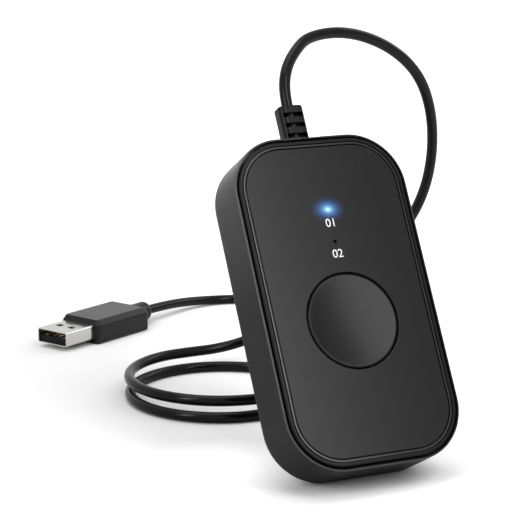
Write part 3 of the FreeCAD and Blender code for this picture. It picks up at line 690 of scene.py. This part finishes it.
def moulded(name, tone, gloss, specular, grain, haze=0.03, edges=()):
    """Moulded plastic or rubber. gloss: lowest and highest roughness. grain: scale and depth.
    edges: pairs of a front edge's values and the strength of its coat."""
    material, tree, shader = new_material(name)
    grain_scale, grain_depth = grain
    shader.inputs["Specular IOR Level"].default_value = specular
    grain_node = placed(tree, grain_group, Scale=grain_scale)
    haze_node = placed(tree, haze_group, Amount=haze)
    tree.links.new(spread(tree, grain_node.outputs["Gloss Change"], 0.0, 1.0, *gloss),
                   shader.inputs["Roughness"])
    filmed = [film_share * value + film_grey for value in tone]
    tree.links.new(tone_mix(tree, haze_node.outputs["Haze"], tone, filmed),
                   shader.inputs["Base Color"])
    tree.links.new(bumped(tree, grain_node.outputs["Height"], grain_depth),
                   shader.inputs["Normal"])
    polish = 0.0
    for edge, strength in edges:
        edge_node = placed(tree, edge_group, **edge)
        line = maths(tree, "MULTIPLY", edge_node.outputs["Edge"], strength)
        polish = maths(tree, "MAXIMUM", line, polish)
    if edges:
        tree.links.new(polish, shader.inputs["Coat Weight"])
        shader.inputs["Coat Roughness"].default_value = coat_roughness
    return material


print("Plastic recipe ready")

# %% [markdown]
# ## Case, frame, panel and button
#
# The tub has a spark finish that stays dull. The front frame is smoother. The panel and the button
# are the smoothest, which is why they alone show a wide soft reflection. Their specular level is
# low, because a soft-touch coat reflects less than bare plastic.

# %% Case finishes
tub_edge = {"Half_Width": 23.6 * mm, "Half_Length": 42.2 * mm, "Corner": 13.9 * mm,
            "Front": 0.2 * mm, "Reach": 0.25 * mm}
lip_edge = {"Half_Width": 21.35 * mm, "Half_Length": 39.95 * mm, "Corner": 11.65 * mm,
            "Front": 0.0, "Reach": 0.2 * mm}
lip_face = {**lip_edge, "Reach": 0.5 * mm}
case_black = moulded("case black, spark finish", (0.009, 0.009, 0.0093), (0.42, 0.50), 0.06,
                     (3800.0, 0.0024 * mm), edges=[(tub_edge, 1.0)])
frame_black = moulded("frame black, satin", (0.004, 0.004, 0.0042), (0.28, 0.34), 0.1,
                      (4200.0, 0.0012 * mm), haze=0.02, edges=[(lip_edge, 0.85), (lip_face, 0.2)])
panel_black = moulded("panel charcoal, soft matt", (0.0045, 0.0045, 0.0048), (0.24, 0.26), 0.16,
                      (5200.0, 0.0012 * mm), haze=0.02)
button_black = moulded("button charcoal, satin", (0.0045, 0.0045, 0.0048), (0.22, 0.24), 0.12,
                       (5200.0, 0.0012 * mm), haze=0.02)
print("Case finishes:", case_black.name, "|", panel_black.name)

# %% [markdown]
# ## Handling polish on the tub
#
# A box like this is picked up by its upper end, so the spark finish is worn a little smoother
# there. The polish is one more coat, which grows with the height up the case and never hides the
# rubbed edge.

# %% Polish towards the upper end
polish_start, polish_end = 44 * mm, 82 * mm
polish_strength = 0.4
polish_tree = case_black.node_tree
polish_parts = frame_parts(polish_tree, case_point(0, 0, 0), case_angles)
polish = spread(polish_tree, polish_parts["Z"], polish_start, polish_end, 0.0, polish_strength)
polish_coat = polish_tree.nodes["Principled BSDF"].inputs["Coat Weight"]
rubbed_line = polish_coat.links[0].from_socket
polish_tree.links.new(maths(polish_tree, "MAXIMUM", polish, rubbed_line), polish_coat)
print("Polish grows over", round((polish_end - polish_start) / mm), "mm")

# %% [markdown]
# ## The button's seat
#
# The cap sits on one small switch in its middle, so it never lies quite square, and its dish reads
# a little deeper than its edge alone shows. A Bump node can say both without moving a point: its
# height is a shallow bowl round the button's middle with a slight slope across it.

# %% Bowl and slope of the button
button_middle = case_point(0, 0, 36.3 * mm)
button_radius = 12.0 * mm
bowl_depth = 0.3 * mm
button_slope = 0.05 * Vector((1, 0, 0)) - 0.03 * case_up
button_tree = button_black.node_tree
button_offset = vector_maths(button_tree, "SUBTRACT", object_place(button_tree), button_middle)
offset_square = vector_maths(button_tree, "DOT_PRODUCT", button_offset, button_offset)
bowl_height = maths(button_tree, "MULTIPLY", offset_square, bowl_depth / button_radius ** 2)
slope_height = vector_maths(button_tree, "DOT_PRODUCT", button_offset, button_slope)
seat_normal = bumped(button_tree, maths(button_tree, "ADD", bowl_height, slope_height), 1.0)
grain_bump = button_tree.nodes["Principled BSDF"].inputs["Normal"].links[0].from_node
button_tree.links.new(seat_normal, grain_bump.inputs["Normal"])
print("Button bowl:", round(bowl_depth / mm, 2), "mm deeper")

# %% [markdown]
# ## Cord, relief, grip and pad
#
# The cord's covering is soft and a little glossy, the strain relief is the same stuff with the dull
# skin of a small mould, and the plug's grip is harder and satin. The pad is dull rubber with a
# coarse pebble that holds the desk.

# %% Cord, relief, grip and pad finishes
cord_black = moulded("cord covering, soft black", (0.0035, 0.0035, 0.0037), (0.13, 0.19), 0.13,
                     (1800.0, 0.0016 * mm), haze=0.02)
relief_black = moulded("strain relief, matt black", (0.003, 0.003, 0.0032), (0.26, 0.32), 0.12,
                       (2600.0, 0.003 * mm), haze=0.02)
grip_black = moulded("plug grip, satin black", (0.0075, 0.0075, 0.0079), (0.26, 0.34), 0.2,
                     (3400.0, 0.0028 * mm), haze=0.05)
pad_black = moulded("rubber pad, pebbled", (0.012, 0.012, 0.012), (0.62, 0.75), 0.25,
                    (1500.0, 0.03 * mm), haze=0.3)
print("Cord finishes:", cord_black.name, "|", grip_black.name)

# %% [markdown]
# ## Plastics inside
#
# The pieces inside show only when the part is opened or taken apart, and get the plain plastics
# such pieces have: black resin on the chip, natural white on the connector, dark red on the wires.

# %% Inside finishes
tongue_black = moulded("plug tongue, plain black", (0.006, 0.006, 0.0065), (0.4, 0.48), 0.1,
                       (3000.0, 0.002 * mm))
chip_black = moulded("chip resin, matt black", (0.02, 0.02, 0.021), (0.5, 0.6), 0.4,
                     (3000.0, 0.003 * mm))
switch_black = moulded("switch black, plain", (0.014, 0.014, 0.014), (0.4, 0.5), 0.4,
                       (3000.0, 0.003 * mm))
connector_white = moulded("connector, natural white", (0.72, 0.69, 0.6), (0.4, 0.5), 0.5,
                          (2500.0, 0.003 * mm))
wire_red = moulded("wire covering, dark red", (0.32, 0.03, 0.02), (0.3, 0.4), 0.5,
                   (1800.0, 0.003 * mm))
print("Inside finishes:", chip_black.name, "|", connector_white.name)

# %% [markdown]
# ## Metal recipe
#
# Rolled sheet has fine lines along it, and each use adds faint scratches. Noise that is stretched
# along one direction gives both: it darkens the plate a little and feeds a Bump node. Softer clouds
# change the gloss.

# %% Metal recipe
line_scale, line_detail, line_roughness = 2500.0, 4.0, 0.7
line_range, line_shade = (0.35, 0.75), 0.86
blur_scale, blur_detail, blur_roughness = 300.0, 4.0, 0.6


def metal(name, tone, gloss, line_depth, stretch=(1.0, 1.0, 1.0)):
    """Plated metal with fine lines, stretched along the plug's own length."""
    material, tree, shader = new_material(name)
    shader.inputs["Metallic"].default_value = 1.0
    place = object_place(tree)
    mapping = tree.nodes.new("ShaderNodeMapping")
    mapping.inputs["Scale"].default_value = stretch
    mapping.inputs["Rotation"].default_value = (0, 0, -plug_turn)
    tree.links.new(place, mapping.inputs["Vector"])
    lines = noise(tree, mapping.outputs["Vector"], line_scale, line_detail, line_roughness)
    clouds = noise(tree, place, blur_scale, blur_detail, blur_roughness)
    tree.links.new(spread(tree, clouds, *cloud_range, *gloss), shader.inputs["Roughness"])
    shaded = [line_shade * value for value in tone]
    tree.links.new(tone_mix(tree, spread(tree, lines, *line_range), tone, shaded),
                   shader.inputs["Base Color"])
    tree.links.new(bumped(tree, lines, line_depth), shader.inputs["Normal"])
    return material


print("Metal recipe ready")

# %% [markdown]
# ## Metals
#
# The plug's shell is thin steel with nickel plate, bright but not a mirror. The contacts are gold
# over nickel. The screws are darkened steel and a little rough, and the switch's plate and the
# crystal's can are plain bright sheet.

# %% Metal finishes
shell_nickel = metal("plug shell, nickel plate", (0.56, 0.555, 0.54), (0.16, 0.26), 0.002 * mm,
                     (0.04, 1.0, 1.0))
contact_gold = metal("contacts, gold plate", (0.95, 0.66, 0.26), (0.22, 0.32), 0.001 * mm)
screw_dark = metal("screws, darkened steel", (0.2, 0.2, 0.21), (0.32, 0.45), 0.003 * mm)
sheet_steel = metal("switch and crystal, bright sheet", (0.62, 0.62, 0.63), (0.22, 0.34),
                    0.002 * mm)
print("Metals:", shell_nickel.name, "|", contact_gold.name)

# %% [markdown]
# ## Seam under the plug
#
# The shell is bent from one strip, and its two ends meet in a fine seam along the middle of the
# underside. A narrow mask in the plug's own direction darkens the gloss there. The mask is measured
# across the plug, so it stays straight however the plug lies.

# %% Plug seam
seam_half = 0.06 * mm
seam_top, seam_fade = 1.8 * mm, 0.1 * mm
seam_tree = shell_nickel.node_tree
seam_parts = frame_parts(seam_tree, plug_mouth, (0, 0, plug_turn))
seam_across = maths(seam_tree, "ABSOLUTE", seam_parts["Y"], 0.0)
seam_line = spread(seam_tree, seam_across, 2 * seam_half, seam_half)
seam_level = seam_top - plug_mouth.z
seam_under = spread(seam_tree, seam_parts["Z"], seam_level, seam_level - seam_fade)
seam_mask = maths(seam_tree, "MULTIPLY", seam_line, seam_under)
seam_shader = seam_tree.nodes["Principled BSDF"]
plain_gloss = seam_shader.inputs["Roughness"].links[0].from_socket
seam_tree.links.new(maths(seam_tree, "MAXIMUM", plain_gloss, seam_mask),
                    seam_shader.inputs["Roughness"])
print("Seam width:", round(2 * seam_half / mm, 2), "mm")

# %% [markdown]
# ## Circuit board
#
# The board is hidden while the case is closed, but it is a part in its own right. Its green mask
# shows the copper under it as a slightly lighter pattern, and square Voronoi cells give that look
# of tracks and fields without any drawing.

# %% Board material
board_coat, board_gloss = 0.4, (0.25, 0.4)
board_dark, board_light = (0.01, 0.11, 0.045), (0.03, 0.2, 0.08)
track_scale, track_range = 400.0, (0.25, 0.32)
board_cloud_scale, board_cloud_detail = 200.0, 3.0
board_green, board_tree, board_shader = new_material("board, green mask")
board_shader.inputs["Coat Weight"].default_value = board_coat
board_place = object_place(board_tree)
board_tracks = board_tree.nodes.new("ShaderNodeTexVoronoi")
board_tracks.distance = "CHEBYCHEV"
board_tracks.inputs["Scale"].default_value = track_scale
board_tree.links.new(board_place, board_tracks.inputs["Vector"])
track_mask = spread(board_tree, board_tracks.outputs["Distance"], *track_range)
board_tree.links.new(tone_mix(board_tree, track_mask, board_dark, board_light),
                     board_shader.inputs["Base Color"])
board_clouds = noise(board_tree, board_place, board_cloud_scale, board_cloud_detail)
board_tree.links.new(spread(board_tree, board_clouds, *cloud_range, *board_gloss),
                     board_shader.inputs["Roughness"])
print("Board nodes:", len(board_tree.nodes))

# %% [markdown]
# ## Painted glow round the lit window
#
# The upper window is lit and the lower one is dark. A lit window is a bright blue-white core whose
# light also washes over the panel round it, so the panel's own material has a faint blue glow
# painted
# on it: painted light that falls off with the distance from the window. The painted glow is on the
# surface, so it stays in place from every side.

# %% Painted glow on the panel
lit_window = case_point(0, 0, 65.0 * mm)
painted_glow_reach = 4.3 * mm
painted_glow_spread = 1.4
painted_glow_stops = [(0.0, (0.6, 1.0, 1.0)), (0.12, (0.22, 0.55, 0.85)), (0.26, (0.05, 0.19, 0.46)),
              (0.45, (0.012, 0.045, 0.14)), (0.68, (0.002, 0.006, 0.02)), (0.84, (0.0, 0.0, 0.0)),
              (1.0, (0.0, 0.0, 0.0))]


def add_painted_glow(material, strength):
    """Painted glow standing in for the lit window's light, wider than it is high, that fades over
    the panel.
    """
    tree = material.node_tree
    shader = tree.nodes["Principled BSDF"]
    offset = vector_maths(tree, "SUBTRACT", object_place(tree), lit_window)
    narrowed = vector_maths(tree, "MULTIPLY", offset, (1 / painted_glow_spread, 1, 1))
    distance = vector_maths(tree, "LENGTH", narrowed)
    ramp = tree.nodes.new("ShaderNodeValToRGB")
    ramp.color_ramp.interpolation = "B_SPLINE"
    for stop, (place, colour) in enumerate(painted_glow_stops):
        if stop < 2:
            point = ramp.color_ramp.elements[stop]
            point.position = place
        else:
            point = ramp.color_ramp.elements.new(place)
        point.color = (*colour, 1)
    tree.links.new(spread(tree, distance, 0.0, painted_glow_reach), ramp.inputs["Fac"])
    tree.links.new(ramp.outputs["Color"], shader.inputs["Emission Color"])
    shader.inputs["Emission Strength"].default_value = strength


# Painted light: the panel itself glows round the lit window.
add_painted_glow(panel_black, 1.1)
print("Glow reach:", round(painted_glow_reach / mm, 2), "mm")

# %% [markdown]
# ## Windows and lamps
# Each window is the fine tip of a clear pipe. The lit one sends out light of its own. The dark one
# is opaque black, painted shade for the unlit dark behind it. The two lamps behind the pipes are
# clear resin that both send out a faint light of their own: real light for the upper lamp, a
# painted glow for the lower one. The lit one sends out light of its own, the dark one
# looks black because nothing behind it is lit, and the two lamps behind the pipes are clear resin.

# %% Window and lamp materials
resin_index, resin_gloss = 1.49, (0.12, 0.22)
resin_scale, resin_detail = 900.0, 3.0


def window_material(name, tone, glow, strength, specular):
    """Clear resin of one tone, which may send out light of its own."""
    material, tree, shader = new_material(name)
    shader.inputs["IOR"].default_value = resin_index
    shader.inputs["Specular IOR Level"].default_value = specular
    clouds = noise(tree, object_place(tree), resin_scale, resin_detail)
    tree.links.new(spread(tree, clouds, *cloud_range, *resin_gloss), shader.inputs["Roughness"])
    shader.inputs["Base Color"].default_value = (*tone, 1)
    shader.inputs["Emission Color"].default_value = (*glow, 1)
    shader.inputs["Emission Strength"].default_value = strength
    return material


window_lit = window_material("window, lit blue-white", (0.03, 0.05, 0.06), (0.58, 0.97, 1.0), 1.05,
                             0.1)
# Painted shade: the dark window is opaque black for the unlit dark behind it.
window_painted_black = window_material("window, unlit, painted black shade", (0.001, 0.001, 0.001), (0, 0, 0), 0.0, 0.01)
# Both lamps glow: real light for the upper lamp, a painted glow for the unlit lower one.
glowing_lamp_resin = window_material("lamp, clear resin, glowing", (0.6, 0.75, 0.95), (0.6, 0.75, 0.95), 0.6, 0.5)
print("Windows:", window_lit.name, "|", window_painted_black.name)

# %% [markdown]
# ## Finishes onto the CAD pieces
#
# The CAD pieces already have the right shapes, so each only gets its finish, in the slot of its own
# object. The cord takes the covering that its three CAD lengths would have.

# %% Give each piece its finish
finishes = {
    "rear_shell": case_black,
    "front_cover": frame_black,
    "front_panel": panel_black,
    "button_cap": button_black,
    "led_lens_upper": window_lit,
    "led_lens_lower": window_painted_black,
    "led_upper": glowing_lamp_resin,
    "led_lower": glowing_lamp_resin,
    "switch_body": switch_black,
    "switch_plate": sheet_steel,
    "switch_plunger": switch_black,
    "circuit_board": board_green,
    "controller_chip": chip_black,
    "quartz_crystal": sheet_steel,
    "board_parts": chip_black,
    "board_screws": screw_dark,
    "cable_header": connector_white,
    "cable_socket": connector_white,
    "lead_wires": wire_red,
    "case_screws": screw_dark,
    "grip_pad": pad_black,
    "strain_relief": relief_black,
    "cord_rise": cord_black,
    "cord_loops": cord_black,
    "cord_lead": cord_black,
    "plug_body": grip_black,
    "plug_shell": shell_nickel,
    "plug_tongue": tongue_black,
    "plug_contacts": contact_gold,
}
for name, material in finishes.items():
    piece = nodes[name]
    if not piece.material_slots:
        piece.data.materials.append(None)
    piece.material_slots[0].material = material
cord.data.materials.append(cord_black)
print("Finished nodes:", len(finishes))

# %% [markdown]
# ## Screw faces
#
# Four screws close the case from the rear, deep in their recesses. The CAD heads are plain, so
# each gets a thin face with the cross slot that a driver needs. A filled curve does this simply:
# an outer circle with a cross inside it becomes a plate with a cross-shaped hole, and its own small
# bevel softens the rims.

# %% Outline of a screw face
screw_face_radius = 1.62 * mm
slot_arm = 0.95 * mm
slot_half = 0.21 * mm
circle_steps = 40
circle_points = [(screw_face_radius * cos(2 * pi * step / circle_steps),
                  screw_face_radius * sin(2 * pi * step / circle_steps))
                 for step in range(circle_steps)]
cross_points = [(slot_half, slot_arm), (slot_half, slot_half), (slot_arm, slot_half),
                (slot_arm, -slot_half), (slot_half, -slot_half), (slot_half, -slot_arm),
                (-slot_half, -slot_arm), (-slot_half, -slot_half), (-slot_arm, -slot_half),
                (-slot_arm, slot_half), (-slot_half, slot_half), (-slot_half, slot_arm)]
print("Face outline points:", len(circle_points) + len(cross_points))

# %% [markdown]
# ## Screw faces in place
#
# Each face lies on its head and looks out of the rear. It is turned a little, each by its own
# amount, because screws never stop at the same angle.

# %% Four screw faces
screw_head_depth = 14.6 * mm
screw_side, screw_margin = 17.19 * mm, 9.57 * mm
face_thickness = 0.3 * mm
face_bevel = 0.05 * mm


def add_screw_face(name, x, height, turn):
    """Thin plate with a cross slot on one screw head."""
    curve = bpy.data.curves.new(name, "CURVE")
    curve.dimensions = "2D"
    curve.fill_mode = "BOTH"
    for outline in (circle_points, cross_points):
        loop = curve.splines.new("POLY")
        loop.points.add(len(outline) - 1)
        for point, (across, up) in zip(loop.points, outline):
            point.co = (across, up, 0, 1)
        loop.use_cyclic_u = True
    curve.extrude = face_thickness / 2 - face_bevel
    curve.bevel_depth = face_bevel
    curve.offset = -face_bevel
    face = bpy.data.objects.new(name, curve)
    place = Matrix.Translation(Vector((x, screw_head_depth + face_thickness / 2, height)))
    upright = Matrix.Rotation(pi / 2, 4, "X")
    face.matrix_world = case_stand @ place @ upright @ Matrix.Rotation(radians(turn), 4, "Z")
    scene.collection.objects.link(face)
    face.data.materials.append(screw_dark)
    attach(face, "housing")


screw_places = [(-screw_side, screw_margin, 12), (screw_side, screw_margin, 51),
                (-screw_side, case_length - screw_margin, 78),
                (screw_side, case_length - screw_margin, 33)]
for number, (x, height, turn) in enumerate(screw_places, start=1):
    add_screw_face("screw_face_%d" % number, x, height, turn)
print("Screw faces:", len(screw_places))

# %% [markdown]
# ## White ink
#
# Beside each window the panel has a small white print that names its mode. The ink is screen
# printed, so it is a little uneven and duller than the panel.

# %% Ink material
ink_full, ink_thin = (0.86, 0.86, 0.86), (0.76, 0.76, 0.77)
ink_scale, ink_detail = 2400.0, 3.0
ink_range, ink_gloss = (0.35, 0.65), (0.45, 0.6)
ink_white, ink_tree, ink_shader = new_material("print, white ink")
ink_clouds = noise(ink_tree, object_place(ink_tree), ink_scale, ink_detail)
ink_mask = spread(ink_tree, ink_clouds, *ink_range)
ink_tree.links.new(tone_mix(ink_tree, ink_mask, ink_full, ink_thin),
                   ink_shader.inputs["Base Color"])
ink_tree.links.new(spread(ink_tree, ink_clouds, *cloud_range, *ink_gloss),
                   ink_shader.inputs["Roughness"])
print("Ink nodes:", len(ink_tree.nodes))

# %% [markdown]
# ## Marks beside the windows
#
# Plain numerals stand for the two modes: 01 for the upper window and 02 for the lower one. Each
# is a very thin solid, cut from Blender's own font, because ink lies on the surface rather than
# in it.

# %% Marks
ink_thickness = 0.02 * mm
mark_size = 3.0 * mm
upper_height, lower_height = 61.4 * mm, 53.4 * mm


def add_mark(name, text, height):
    """Centred numeral on the panel, its middle at one height of the case."""
    curve = bpy.data.curves.new(name, "FONT")
    curve.body = text
    curve.align_x = "CENTER"
    curve.align_y = "CENTER"
    curve.size = mark_size
    curve.extrude = ink_thickness / 2
    mark = bpy.data.objects.new(name, curve)
    upright = Matrix.Rotation(pi / 2, 4, "X")
    place = Matrix.Translation(Vector((0, -ink_thickness / 2, height)))
    mark.matrix_world = case_stand @ place @ upright
    scene.collection.objects.link(mark)
    mark.data.materials.append(ink_white)
    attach(mark, "housing")
    print(name, "at", round(height / mm, 1), "mm up the case")


add_mark("mark_upper", "01", upper_height)
add_mark("mark_lower", "02", lower_height)

# %% Update the scene and finish
bpy.context.view_layer.update()
